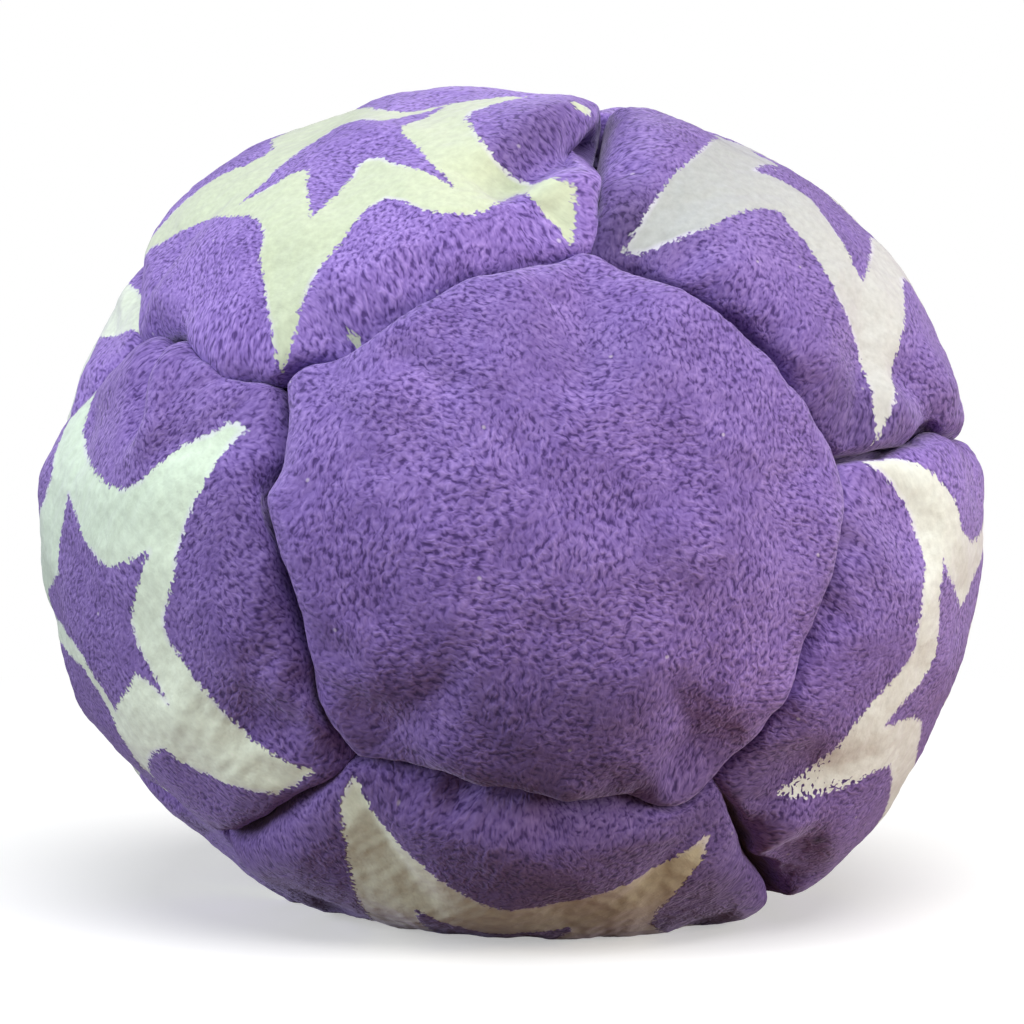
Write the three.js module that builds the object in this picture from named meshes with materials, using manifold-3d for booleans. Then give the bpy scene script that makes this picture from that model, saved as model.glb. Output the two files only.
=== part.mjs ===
// Footbag: a small soft ball sewn from twelve five-sided suede panels and filled with beans.
// Millimetres, +Z up. The ball rests on the plane z = 0 and its plain panel faces -Y.

import * as THREE from 'three';
import Module from 'manifold-3d';

// Round outline that the middles of the panels reach, as the ball rests. Across its seams the ball
// measures a little less.
const OUTLINE_WIDTH = 58.8;
const OUTLINE_DEPTH = 57.4;
const OUTLINE_HEIGHT = 51.3;

// Flattening of the underside under the weight of the beans
const BASE_SINK = 3.5;
const BASE_PRESS = 1.8;
const LIFT_HEIGHT = 14;

// Cloth of the panels and the air left between pieces
const FABRIC = 1;
const SEAM_GAP = 0.3;
const CLEARANCE = 0.3;

// Shape of a panel from its middle to its seam: fall of the dome, width of the turned-in roll,
// depth of the stitch line, extra depth at the corners, and cloth left inside as seam allowance
const EDGE_DROP = 0.9;
const ROLL_WIDTH = 3;
const SEAM_SINK = 3.1;
const CORNER_DIP = 0.8;
const FLANGE = 3;

// Sewing thread: its thickness, its place on the seam allowance, and the knotted ends
const THREAD = 0.5;
const STITCH_DROP = 1;
const STITCHES_PER_SEAM = 4;
const TAIL = 1.8;
const KNOT = 0.8;

// Attitude of the seam net in degrees: front panel turned right of -Y, tipped up, and rolled
const FRONT_TURN = 7.4;
const FRONT_TILT = 2;
const NET_ROLL = -6;

// Corners of the net, ring by ring from the front: angle from the front panel's axis, and turn about
// that axis, in degrees. The corners towards the front are pulled out of regular as on the real ball.
const FIRST_CORNER_ANGLES = [[40, 91], [44, 158], [43.3, 235], [42, 308], [41, 20]];
const SECOND_CORNER_ANGLES = [[83, 83.5], [75.5, 160], [82, 231], [83, 309], [83, 17]];
const THIRD_CORNER_ANGLES = [[103, 138], [101, 198], [101, 270], [101, 342], [101, 54]];
const FOURTH_CORNER_ANGLES = [[142.6, 126], [142.6, 198], [142.6, 270], [142.6, 342], [142.6, 54]];

// Fineness of the faceting. A side of a panel has one step to each stitch.
const THREAD_SIDES = 4;
const CORE_SEGMENTS = 3;

// Colours
const SUEDE_COLOUR = 0x8168ae;
const THREAD_COLOUR = 0x3d2f63;
const BEAN_COLOUR = 0xd8d2c2;

// Sizes that follow from the ones above
const halfWidth = OUTLINE_WIDTH / 2;
const halfDepth = OUTLINE_DEPTH / 2;
const halfHeight = (OUTLINE_HEIGHT + BASE_SINK) / 2;
const centre = new THREE.Vector3(0, 0, OUTLINE_HEIGHT - halfHeight);
const flangeFace = SEAM_GAP / 2;
const flangeBack = flangeFace + FABRIC;
const flangeSink = SEAM_SINK + FLANGE;
const stitchSide = flangeBack + CLEARANCE + THREAD / 2;
const stitchSink = SEAM_SINK + STITCH_DROP;
const knotSide = flangeBack + CLEARANCE + KNOT / 2;
const lobeInset = Math.max(ROLL_WIDTH, knotSide + KNOT / 2 + CLEARANCE);
const coreSink = flangeSink + CORNER_DIP + 2 * CLEARANCE;

const manifold = await Module();
manifold.setup();

// Distance from the centre of the ball to its outline, along a unit direction
function outline(direction) {
  return 1 / Math.hypot(direction.x / halfWidth, direction.y / halfDepth, direction.z / halfHeight);
}

// Unit direction from the centre of the ball, given about the front panel's axis
function netDirection([polar, turn]) {
  const side = THREE.MathUtils.degToRad(FRONT_TURN);
  const tilt = THREE.MathUtils.degToRad(FRONT_TILT);
  const angle = THREE.MathUtils.degToRad(polar);
  const around = THREE.MathUtils.degToRad(turn + NET_ROLL);
  const front = new THREE.Vector3(
    Math.sin(side) * Math.cos(tilt),
    -Math.cos(side) * Math.cos(tilt),
    Math.sin(tilt),
  );
  const right = new THREE.Vector3(Math.cos(side), Math.sin(side), 0);
  const up = front.clone().cross(right);
  return front
    .multiplyScalar(Math.cos(angle))
    .addScaledVector(right, Math.sin(angle) * Math.cos(around))
    .addScaledVector(up, Math.sin(angle) * Math.sin(around));
}

// A panel of the net: its corner directions, its middle, and the seam planes, which face into the panel
function makePanel(name, corners) {
  const middle = corners.reduce((sum, corner) => sum.add(corner), new THREE.Vector3()).normalize();
  const seams = corners.map((corner, k) => corner.clone().cross(corners[(k + 1) % 5]).normalize());
  return { name, corners, middle, seams };
}

// Point on a corner of the panel, set in from both seams there and sunk below the outline
function cornerPoint(panel, k, inset, sink) {
  const direction = panel.corners[k];
  const before = panel.seams[(k + 4) % 5];
  const after = panel.seams[k];
  const shift = before.clone().add(after).multiplyScalar(inset / (1 + before.dot(after)));
  return shift.addScaledVector(direction, outline(direction) - sink - CORNER_DIP);
}

// Point along a side of the panel, exactly the inset away from the plane of that seam
function sidePoint(panel, k, share, inset, sink) {
  const foot = panel.seams[k].clone().multiplyScalar(inset);
  const start = cornerPoint(panel, k, inset, sink).sub(foot);
  const end = cornerPoint(panel, (k + 1) % 5, inset, sink).sub(foot);
  const sweep = start.angleTo(end);
  const rise = 4 * CORNER_DIP * share * (1 - share);
  const reach = THREE.MathUtils.lerp(start.length(), end.length(), share) + rise;
  const aim = start.normalize().multiplyScalar(Math.sin((1 - share) * sweep));
  aim.addScaledVector(end.normalize(), Math.sin(share * sweep)).normalize();
  return foot.addScaledVector(aim, reach);
}

// Point beside the stitch line of a seam, straight out from the seam's plane into the panel
function stitchPoint(panel, k, share, inset, sink) {
  return sidePoint(panel, k, share, 0, sink).addScaledVector(panel.seams[k], inset);
}

// Closed row of points round a panel
function sideRow(panel, inset, sink) {
  const row = [];
  for (let k = 0; k < 5; k += 1) {
    for (let step = 0; step < STITCHES_PER_SEAM; step += 1) {
      row.push(sidePoint(panel, k, step / STITCHES_PER_SEAM, inset, sink));
    }
  }
  return row;
}

// Row on the dome between the middle of a panel and its edge row
function domeRow(panel, edgeRow, share, middleSink) {
  return edgeRow.map((edge) => {
    const edgeAim = edge.clone().normalize();
    const edgeSink = outline(edgeAim) - edge.length();
    const aim = panel.middle.clone().lerp(edgeAim, share).normalize();
    const sink = middleSink + (edgeSink - middleSink) * share * share;
    return aim.clone().multiplyScalar(outline(aim) - sink);
  });
}

function middlePoint(panel, sink) {
  return panel.middle.clone().multiplyScalar(outline(panel.middle) - sink);
}

// Moves a point from the round ball to the resting ball: the underside is lifted and pressed flat
function settle(point, floor) {
  const spread = (point.x / halfWidth) ** 2 + (point.y / halfDepth) ** 2;
  const under = centre.z - halfHeight * Math.sqrt(Math.max(0, 1 - spread));
  const lift = Math.max(0, -BASE_PRESS - under);
  const height = point.z + centre.z;
  const fade = THREE.MathUtils.clamp(1 - height / LIFT_HEIGHT, 0, 1);
  return new THREE.Vector3(point.x, point.y, Math.max(height + lift * fade, floor));
}

// Closed body through rows of equal length, from a top point to a bottom point. From the turn row on,
// the facets are split the other way, so that the two faces of a cloth are faceted alike. An opening
// goes through the body from a facet of one band of rows to the facet below it in another band.
function loft(top, rows, bottom, turn = rows.length, openings = []) {
  const points = [top, ...rows.flat(), bottom];
  const count = rows[0].length;
  const last = points.length - 1;
  const triangles = [];
  const place = (row, step) => 1 + row * count + (step % count);
  const facet = (row, step) => [
    place(row, step),
    place(row + 1, step),
    place(row + 1, step + 1),
    place(row, step + 1),
  ];
  const pierced = new Set(openings.flatMap(({ step, bands }) => bands.map((row) => facet(row, step)[0])));
  for (let step = 0; step < count; step += 1) {
    triangles.push(0, place(0, step), place(0, step + 1));
    for (let row = 0; row < rows.length - 1; row += 1) {
      const [a, b, c, d] = facet(row, step);
      if (pierced.has(a)) {
        continue;
      }
      if (row < turn) {
        triangles.push(a, b, c, a, c, d);
      } else {
        triangles.push(a, b, d, d, b, c);
      }
    }
    triangles.push(last, place(rows.length - 1, step + 1), place(rows.length - 1, step));
  }
  for (const { step, bands, rims } of openings) {
    const [mouth, outlet] = rims.map((rim) => rim.map((point) => points.push(point) - 1));
    [mouth, outlet].forEach((rim, end) => {
      const frame = facet(bands[end], step);
      rim.forEach((inner, k) => {
        const next = (k + 1) % 4;
        triangles.push(frame[k], frame[next], rim[next], frame[k], rim[next], inner);
      });
    });
    const across = [outlet[1], outlet[0], outlet[3], outlet[2]];
    mouth.forEach((near, k) => {
      const next = (k + 1) % 4;
      triangles.push(near, mouth[next], across[next], near, across[next], across[k]);
    });
  }
  return { points, triangles };
}

// Tube along a path with mitred bends and a thickness given at each point
function tube(path, thicknesses) {
  const start = path[1].clone().sub(path[0]).normalize();
  const across = path[0].clone().sub(centre).cross(start).normalize();
  const outward = start.clone().cross(across);
  let spokes = [];
  for (let i = 0; i < THREAD_SIDES; i += 1) {
    const angle = (2 * Math.PI * i) / THREAD_SIDES;
    const spoke = across.clone().multiplyScalar(Math.cos(angle)).addScaledVector(outward, Math.sin(angle));
    spokes.push(spoke.multiplyScalar(thicknesses[0] / 2));
  }
  const rows = [spokes.map((spoke) => path[0].clone().add(spoke))];
  for (let i = 1; i < path.length; i += 1) {
    const incoming = path[i].clone().sub(path[i - 1]).normalize();
    const leaving = i + 1 < path.length ? path[i + 1].clone().sub(path[i]).normalize() : incoming;
    const mitre = incoming.clone().add(leaving).normalize();
    const growth = thicknesses[i] / thicknesses[i - 1];
    spokes = spokes.map((spoke) => {
      const slide = spoke.dot(mitre) / incoming.dot(mitre);
      return spoke.clone().addScaledVector(incoming, -slide).multiplyScalar(growth);
    });
    rows.push(spokes.map((spoke) => path[i].clone().add(spoke)));
  }
  return loft(path.at(0), rows.map((row) => row.reverse()), path.at(-1));
}

function toSolid({ points, triangles }) {
  const vertProperties = new Float32Array(points.flatMap((point) => point.toArray()));
  const triVerts = new Uint32Array(triangles);
  return new manifold.Manifold(new manifold.Mesh({ numProp: 3, vertProperties, triVerts }));
}

function toMesh(name, solid, material) {
  const { vertProperties, triVerts } = solid.getMesh();
  const geometry = new THREE.BufferGeometry();
  geometry.setAttribute('position', new THREE.BufferAttribute(new Float32Array(vertProperties), 3));
  geometry.setIndex(new THREE.BufferAttribute(new Uint32Array(triVerts), 1));
  geometry.computeVertexNormals();
  const mesh = new THREE.Mesh(geometry, material);
  mesh.name = name;
  return mesh;
}

// Rims of the square hole for one stitch: on the outer face of the seam allowance, then on the inner
function stitchHole(panel, step) {
  const k = Math.floor(step / STITCHES_PER_SEAM);
  const share = ((step % STITCHES_PER_SEAM) + 0.5) / STITCHES_PER_SEAM;
  const half = THREAD / 2 + CLEARANCE;
  const start = stitchPoint(panel, k, 0, 0, stitchSink);
  const end = stitchPoint(panel, k, 1, 0, stitchSink);
  const halfShare = half / start.distanceTo(end);
  const rim = (inset, corners) => corners.map(([along, down]) => {
    const point = stitchPoint(panel, k, share + along * halfShare, inset, stitchSink + down * half);
    return settle(point, FABRIC);
  });
  return [
    rim(flangeFace, [[-1, -1], [-1, 1], [1, 1], [1, -1]]),
    rim(flangeBack, [[-1, 1], [-1, -1], [1, -1], [1, 1]]),
  ];
}

// Suede panel: outer dome, roll into the seam, seam allowance, and the inside of the same cloth
function panelBody(panel) {
  const outerEdge = sideRow(panel, ROLL_WIDTH, EDGE_DROP);
  const innerEdge = sideRow(panel, ROLL_WIDTH, EDGE_DROP + FABRIC);
  const halfRoll = Math.SQRT1_2;
  const outerRoll = sideRow(
    panel,
    flangeFace + (ROLL_WIDTH - flangeFace) * (1 - halfRoll),
    SEAM_SINK - (SEAM_SINK - EDGE_DROP) * halfRoll,
  );
  const innerRoll = sideRow(
    panel,
    flangeBack + (ROLL_WIDTH - flangeBack) * (1 - halfRoll),
    SEAM_SINK - (SEAM_SINK - EDGE_DROP - FABRIC) * halfRoll,
  );
  const outside = [
    domeRow(panel, outerEdge, 0.4, 0),
    domeRow(panel, outerEdge, 0.75, 0),
    outerEdge,
    outerRoll,
    sideRow(panel, flangeFace, SEAM_SINK),
    sideRow(panel, flangeFace, flangeSink),
  ];
  const inside = [
    sideRow(panel, flangeBack, flangeSink),
    sideRow(panel, flangeBack, SEAM_SINK),
    innerRoll,
    innerEdge,
    domeRow(panel, innerEdge, 0.55, FABRIC),
  ];
  const rows = [
    ...outside.map((row) => row.map((point) => settle(point, 0))),
    ...inside.map((row) => row.map((point) => settle(point, FABRIC))),
  ];
  const top = settle(middlePoint(panel, 0), 0);
  const bottom = settle(middlePoint(panel, FABRIC), FABRIC);
  const bands = [outside.length - 2, outside.length];
  const openings = rows[0].map((point, step) => ({ step, bands, rims: stitchHole(panel, step) }));
  return loft(top, rows, bottom, outside.length, openings);
}

// Lobe of the bean fill that pushes up into one panel, clear of the seams and their threads
function lobeBody(panel) {
  const lining = FABRIC + CLEARANCE;
  const edge = sideRow(panel, lobeInset, EDGE_DROP + lining);
  const rows = [
    domeRow(panel, edge, 0.55, lining),
    edge,
    sideRow(panel, lobeInset, coreSink + ROLL_WIDTH),
  ];
  const settled = rows.map((row) => row.map((point) => settle(point, lining)));
  const root = middlePoint(panel, coreSink + 2 * ROLL_WIDTH);
  return loft(settle(middlePoint(panel, lining), lining), settled, settle(root, lining));
}

// Bean fill inside the reach of the seam allowances
function coreBody() {
  const sphere = new THREE.IcosahedronGeometry(1, CORE_SEGMENTS);
  const places = new Map();
  const points = [];
  const triangles = [];
  const position = sphere.getAttribute('position');
  for (let i = 0; i < position.count; i += 1) {
    const direction = new THREE.Vector3().fromBufferAttribute(position, i).normalize();
    const key = direction.toArray().map((value) => Math.round(value * 1e5)).join(' ');
    if (!places.has(key)) {
      places.set(key, points.length);
      points.push(settle(direction.multiplyScalar(outline(direction) - coreSink), FABRIC + CLEARANCE));
    }
    triangles.push(places.get(key));
  }
  return { points, triangles };
}

// Path of the thread of one seam: in through both seam allowances at every stitch and out at the next
function threadPath(seam) {
  const [panel, k, other, m] = seam.between;
  const onSide = (share, nearSide, inset) => {
    const point = nearSide
      ? stitchPoint(panel, k, share, inset, stitchSink)
      : stitchPoint(other, m, 1 - share, inset, stitchSink);
    return settle(point, FABRIC);
  };
  const length = onSide(0, true, 0).distanceTo(onSide(1, true, 0));
  const spacing = 1 / STITCHES_PER_SEAM;
  const path = [];
  let nearSide = true;
  for (let i = 0; i < STITCHES_PER_SEAM; i += 1) {
    const share = (i + 0.5) * spacing;
    path.push(onSide(share, nearSide, stitchSide), onSide(share, !nearSide, stitchSide));
    nearSide = !nearSide;
  }
  const tail = spacing / 2 + TAIL / length;
  const knots = [onSide(tail, true, knotSide), onSide(1 - tail, nearSide, knotSide)];
  return { path, knots };
}

// Thread of one seam with a knot at each end
function threadBody({ path, knots }) {
  const inner = path.map(() => THREAD);
  const towards = (from, to, share) => from.clone().lerp(to, share);
  const head = [0, 0.3, 0.7].map((share) => towards(knots[0], path[0], share));
  const foot = [0.7, 0.3, 0].map((share) => towards(knots[1], path.at(-1), share));
  return tube(
    [...head, ...path, ...foot],
    [THREAD, KNOT, THREAD, ...inner, THREAD, KNOT, THREAD],
  );
}

// The net: twelve panels and the thirty seams between them
const first = FIRST_CORNER_ANGLES.map(netDirection);
const second = SECOND_CORNER_ANGLES.map(netDirection);
const third = THIRD_CORNER_ANGLES.map(netDirection);
const fourth = FOURTH_CORNER_ANGLES.map(netDirection);
const places = first.map((corner, k) => k);
const following = (k) => (k + 1) % 5;
const previous = (k) => (k + 4) % 5;
const front = makePanel('front_panel', first);
const back = makePanel('back_panel', [...fourth].reverse());
const frontRing = places.map((k) =>
  makePanel(
    `front_ring_panel_${k + 1}`,
    [first[k], second[k], third[k], second[following(k)], first[following(k)]],
  ),
);
const backRing = places.map((k) =>
  makePanel(
    `back_ring_panel_${k + 1}`,
    [second[k], third[previous(k)], fourth[previous(k)], fourth[k], third[k]],
  ),
);
const panels = [front, ...frontRing, ...backRing, back];
const seams = [
  ...places.map((k) => ({ name: `front_seam_thread_${k + 1}`, between: [front, k, frontRing[k], 4] })),
  ...places.map((k) => ({
    name: `front_ring_seam_thread_${k + 1}`,
    between: [frontRing[k], 0, frontRing[previous(k)], 3],
  })),
  ...places.map((k) => ({
    name: `middle_seam_thread_${2 * k + 1}`,
    between: [frontRing[k], 1, backRing[k], 4],
  })),
  ...places.map((k) => ({
    name: `middle_seam_thread_${2 * k + 2}`,
    between: [frontRing[k], 2, backRing[following(k)], 0],
  })),
  ...places.map((k) => ({
    name: `back_ring_seam_thread_${k + 1}`,
    between: [backRing[k], 3, backRing[following(k)], 1],
  })),
  ...places.map((k) => ({ name: `back_seam_thread_${k + 1}`, between: [backRing[k], 2, back, 4 - k] })),
];

// Build
const suede = new THREE.MeshStandardMaterial({ color: SUEDE_COLOUR, roughness: 0.95, metalness: 0 });
const cotton = new THREE.MeshStandardMaterial({ color: THREAD_COLOUR, roughness: 0.8, metalness: 0 });
const beans = new THREE.MeshStandardMaterial({ color: BEAN_COLOUR, roughness: 0.6, metalness: 0 });
const ball = new THREE.Group();
ball.name = 'footbag';

for (const panel of panels) {
  ball.add(toMesh(panel.name, toSolid(panelBody(panel)), suede));
}
for (const seam of seams) {
  ball.add(toMesh(seam.name, toSolid(threadBody(threadPath(seam))), cotton));
}
const fill = panels.reduce((solid, panel) => solid.add(toSolid(lobeBody(panel))), toSolid(coreBody()));
ball.add(toMesh('bean_fill', fill, beans));

// Stand the ball over the origin
const box = new THREE.Box3().setFromObject(ball);
const middle = box.getCenter(new THREE.Vector3());
for (const mesh of ball.children) {
  mesh.geometry.translate(-middle.x, -middle.y, -box.min.z);
}

export default ball;
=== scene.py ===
import math

import bpy
import numpy as np
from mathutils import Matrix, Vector


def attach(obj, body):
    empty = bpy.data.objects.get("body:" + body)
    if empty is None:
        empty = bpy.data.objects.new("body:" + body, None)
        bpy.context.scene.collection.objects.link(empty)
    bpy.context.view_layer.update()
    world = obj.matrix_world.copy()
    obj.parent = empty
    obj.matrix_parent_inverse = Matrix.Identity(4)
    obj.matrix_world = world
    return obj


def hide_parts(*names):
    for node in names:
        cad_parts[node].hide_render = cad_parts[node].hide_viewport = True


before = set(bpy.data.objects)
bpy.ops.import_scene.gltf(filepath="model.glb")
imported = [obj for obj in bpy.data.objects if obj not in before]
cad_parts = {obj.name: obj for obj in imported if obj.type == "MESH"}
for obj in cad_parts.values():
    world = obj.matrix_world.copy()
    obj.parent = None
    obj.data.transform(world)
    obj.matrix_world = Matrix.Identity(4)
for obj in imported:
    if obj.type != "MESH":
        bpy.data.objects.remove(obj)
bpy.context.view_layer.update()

MM = 0.001

# The ball as the solids have it, in mm
OUTLINE = np.array([58.8, 57.4, 54.8]) / 2
CENTRE = np.array([-0.032, -0.039, 51.3 - OUTLINE[2]])
BASE_PRESS = 1.8
LIFT_HEIGHT = 14
FABRIC = 1.0
SEAM_GAP = 0.3
EDGE_DROP = 0.9
ROLL_WIDTH = 3.0
SEAM_SINK = 3.1
CORNER_DIP = 0.8
FLANGE = 3.0
FRONT_TURN, FRONT_TILT, NET_ROLL = 7.4, 2.0, -6.0
FIRST_CORNERS = [(40, 91), (44, 158), (43.3, 235), (42, 308), (41, 20)]
SECOND_CORNERS = [(83, 83.5), (75.5, 160), (82, 231), (83, 309), (83, 17)]
THIRD_CORNERS = [(103, 138), (101, 198), (101, 270), (101, 342), (101, 54)]
FOURTH_CORNERS = [(142.6, 126), (142.6, 198), (142.6, 270), (142.6, 342), (142.6, 54)]
FACE = SEAM_GAP / 2
BACK = FACE + FABRIC
# Depth of the unseen inside of the finished panels, below the deepest fold, and the share of the
# way from the middle to the edge where its last row lies
LINING = 2.2
LAST_ROW = 0.55

# Fineness of the simulated cloth and of the finished panels, in rows from the middle to the seam
COARSE = 24
FINE = 96
# Share of those rows that lies on the dome, before the rolled edge
DOME_SHARE = 0.76
# How far the cloth lies below the full shape before it is blown up to it
SLACK, EDGE_SLACK = 1.3, 0.4


# Shape of the panels

def unit(v):
    return v / np.linalg.norm(v, axis=-1, keepdims=True)


def outline(direction):
    """Distance of the full shape from the centre, in a direction."""
    return 1 / np.linalg.norm(direction / OUTLINE, axis=-1)


def net_direction(polar, turn):
    """Direction at an angle from the front panel's middle and turned about it, in degrees."""
    side, tilt = math.radians(FRONT_TURN), math.radians(FRONT_TILT)
    angle, around = math.radians(polar), math.radians(turn + NET_ROLL)
    level = math.cos(tilt)
    front = np.array([math.sin(side) * level, -math.cos(side) * level, math.sin(tilt)])
    right = np.array([math.cos(side), math.sin(side), 0])
    up = np.cross(front, right)
    sideways = right * math.cos(around) + up * math.sin(around)
    return front * math.cos(angle) + sideways * math.sin(angle)


class Panel:
    """Five-sided panel: its corners as directions from the centre, and the planes of its seams."""

    def __init__(self, name, corners):
        self.name = name
        self.corners = np.array(corners)
        self.middle = unit(self.corners.sum(0))
        self.seams = unit(np.cross(self.corners, np.roll(self.corners, -1, axis=0)))

    def corner_point(self, k, inset, sink):
        """Corner at an inset from the planes of both its seams and a sink below the full shape."""
        direction = self.corners[k % 5]
        before, after = self.seams[(k + 4) % 5], self.seams[k % 5]
        shift = (before + after) / (1 + before @ after)
        reach = outline(direction) - sink - CORNER_DIP
        return inset[:, None] * shift + reach[:, None] * direction

    def side_points(self, k, share, inset, sink):
        """Points of a side, at an inset from its seam's plane and a sink below the full shape."""
        given = [np.asarray(x, float) for x in (share, inset, sink)]
        share, inset, sink = np.broadcast_arrays(*given)
        foot = inset[:, None] * self.seams[k]
        start = self.corner_point(k, inset, sink) - foot
        end = self.corner_point(k + 1, inset, sink) - foot
        start_reach, end_reach = np.linalg.norm(start, axis=1), np.linalg.norm(end, axis=1)
        start, end = unit(start), unit(end)
        sweep = np.arccos((start * end).sum(1))
        reach = start_reach * (1 - share) + end_reach * share
        reach = reach + 4 * CORNER_DIP * share * (1 - share)
        aim = start * np.sin((1 - share) * sweep)[:, None] + end * np.sin(share * sweep)[:, None]
        return foot + unit(aim) * reach[:, None]

    def dome_points(self, edge, share, middle_sink):
        """Points between the middle of the panel and points of its edge."""
        share = np.asarray(share, float)
        edge_aim = unit(edge)
        edge_sink = outline(edge_aim) - np.linalg.norm(edge, axis=1)
        aim = unit(self.middle * (1 - share)[:, None] + edge_aim * share[:, None])
        sink = middle_sink + (edge_sink - middle_sink) * share**2
        return aim * (outline(aim) - sink)[:, None]

    def outside(self, k, share, row, slack, edge_slack):
        """Points of the outer face: row 0 is the middle of the panel and row 1 the stitch line."""
        edge = self.side_points(k, share, ROLL_WIDTH, EDGE_DROP + edge_slack)
        dome = self.dome_points(edge, np.minimum(row / DOME_SHARE, 1), slack)
        angle = np.clip((row - DOME_SHARE) / (1 - DOME_SHARE), 0, 1) * math.pi / 2
        inset = FACE + (ROLL_WIDTH - FACE) * (1 - np.sin(angle))
        sink = SEAM_SINK - (SEAM_SINK - EDGE_DROP - edge_slack) * np.cos(angle)
        roll = self.side_points(k, share, inset, sink)
        return np.where((row < DOME_SHARE)[:, None], dome, roll)


def settle(points, floor):
    """Lifts the underside and presses it flat, as the resting ball's own weight does."""
    spread = ((points[:, :2] / OUTLINE[:2]) ** 2).sum(1)
    under = CENTRE[2] - OUTLINE[2] * np.sqrt(np.maximum(0, 1 - spread))
    lift = np.maximum(0, -BASE_PRESS - under)
    placed = points + CENTRE
    fade = np.clip(1 - placed[:, 2] / LIFT_HEIGHT, 0, 1)
    placed[:, 2] = np.maximum(placed[:, 2] + lift * fade, floor)
    return placed


def make_net():
    """The twelve panels: the front one, the ring round it, the ring behind and the back one."""
    first, second, third, fourth = [
        [net_direction(*corner) for corner in ring]
        for ring in (FIRST_CORNERS, SECOND_CORNERS, THIRD_CORNERS, FOURTH_CORNERS)
    ]
    panels = [Panel("front_panel", first)]
    for k in range(5):
        n = (k + 1) % 5
        corners = [first[k], second[k], third[k], second[n], first[n]]
        panels.append(Panel(f"front_ring_panel_{k + 1}", corners))
    for k in range(5):
        p = (k + 4) % 5
        corners = [second[k], third[p], fourth[p], fourth[k], third[k]]
        panels.append(Panel(f"back_ring_panel_{k + 1}", corners))
    panels.append(Panel("back_panel", fourth[::-1]))
    return panels


class Grid:
    """Five-sided patch of triangles: row r has r points to a side, the middle is point 0."""

    def __init__(self, rows):
        self.rows = rows
        row, side, step = [np.zeros(1, int)], [np.zeros(1, int)], [np.zeros(1, int)]
        for r in range(1, rows + 1):
            row.append(np.full(5 * r, r))
            side.append(np.repeat(np.arange(5), r))
            step.append(np.tile(np.arange(r), 5))
        self.row, self.side, self.step = [np.concatenate(x) for x in (row, side, step)]
        self.share = self.step / np.maximum(self.row, 1)
        faces = [np.array([[0, 1 + k, 1 + (k + 1) % 5] for k in range(5)])]
        for r in range(1, rows):
            for k in range(5):
                near, far = self.at(r, k, np.arange(r + 1)), self.at(r + 1, k, np.arange(r + 2))
                faces.append(np.stack([near, far[:-1], far[1:]], 1))
                faces.append(np.stack([near[:-1], far[1:-1], near[1:]], 1))
        self.faces = np.concatenate(faces)
        self.rim = self.at(rows, 0, np.arange(5 * rows))
        pairs = ([0, 1], [1, 2], [2, 0])
        edges = np.concatenate([self.faces[:, pair] for pair in pairs])
        self.edges = np.unique(np.sort(edges, 1), axis=0)

    def at(self, r, k, i):
        """Index of the point that is i steps along side k of row r."""
        r = np.asarray(r)
        place = 1 + 5 * r * (r - 1) // 2 + (k * r + i) % np.maximum(5 * r, 1)
        return np.where(r == 0, 0, place)

    def outside(self, panel, slack=SLACK, edge_slack=EDGE_SLACK):
        """Points of the outer face of a panel on this grid."""
        points = np.zeros((len(self.row), 3))
        for k in range(5):
            here = self.side == k
            row = self.row[here] / self.rows
            points[here] = panel.outside(k, self.share[here], row, slack, edge_slack)
        return points

    def flat(self):
        """Place of each point on the flat cut piece, with its corners at radius 1."""
        turn = np.radians(90 + 72 * np.arange(6))
        corner = np.stack([np.cos(turn), np.sin(turn)], 1)
        share = self.share[:, None]
        along = corner[self.side] * (1 - share) + corner[self.side + 1] * share
        return along * (self.row / self.rows)[:, None]

    def smooth(self, values, times):
        """Values evened out between neighbours, apart from those on the rim."""
        a, b = self.edges.T
        count = np.bincount(a, minlength=len(values)) + np.bincount(b, minlength=len(values))
        held = self.row == self.rows
        for _ in range(times):
            total = [
                np.bincount(a, column[b], len(values)) + np.bincount(b, column[a], len(values))
                for column in values.T
            ]
            mean = np.stack(total, 1) / count[:, None]
            values = np.where(held[:, None], values, 0.5 * values + 0.5 * mean)
        return values

    def refine(self, values, finer):
        """Values on this grid, read at the points of a finer one."""
        ratio = self.rows / finer.rows
        r, i = finer.row * ratio, finer.step * ratio
        r0 = np.minimum(np.floor(r + 1e-9), self.rows - 1).astype(int)
        i0 = np.minimum(np.floor(i + 1e-9), r0).astype(int)
        a, b = (r - r0)[:, None], (i - i0)[:, None]
        k = finer.side
        origin, next_along = values[self.at(r0, k, i0)], values[self.at(r0, k, i0 + 1)]
        down, diagonal = values[self.at(r0 + 1, k, i0)], values[self.at(r0 + 1, k, i0 + 1)]
        upper = (1 - a) * origin + (a - b) * down + b * diagonal
        lower = (1 - b) * origin + a * diagonal + (b - a) * next_along
        return np.where(b <= a, upper, lower)


def waves(points, length, seed, count):
    """Smooth random field of about unit size with the given wavelength."""
    chance = np.random.default_rng(seed)
    aim = unit(chance.normal(size=(count, points.shape[1])))
    rate = 2 * math.pi / (length * chance.uniform(0.75, 1.4, count))
    phase = chance.uniform(0, 2 * math.pi, count)
    return np.sin(points @ (aim * rate[:, None]).T + phase).sum(1) * math.sqrt(2 / count)


def new_mesh(name, points, faces):
    mesh = bpy.data.meshes.new(name)
    mesh.vertices.add(len(points))
    mesh.vertices.foreach_set("co", (points * MM).astype(np.float32).ravel())
    mesh.loops.add(faces.size)
    mesh.loops.foreach_set("vertex_index", faces.astype(np.int32).ravel())
    mesh.polygons.add(len(faces))
    mesh.polygons.foreach_set("loop_start", np.arange(0, faces.size, 3, dtype=np.int32))
    mesh.polygons.foreach_set("use_smooth", np.ones(len(faces), bool))
    mesh.update(calc_edges=True)
    mesh.validate()
    return mesh


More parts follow.
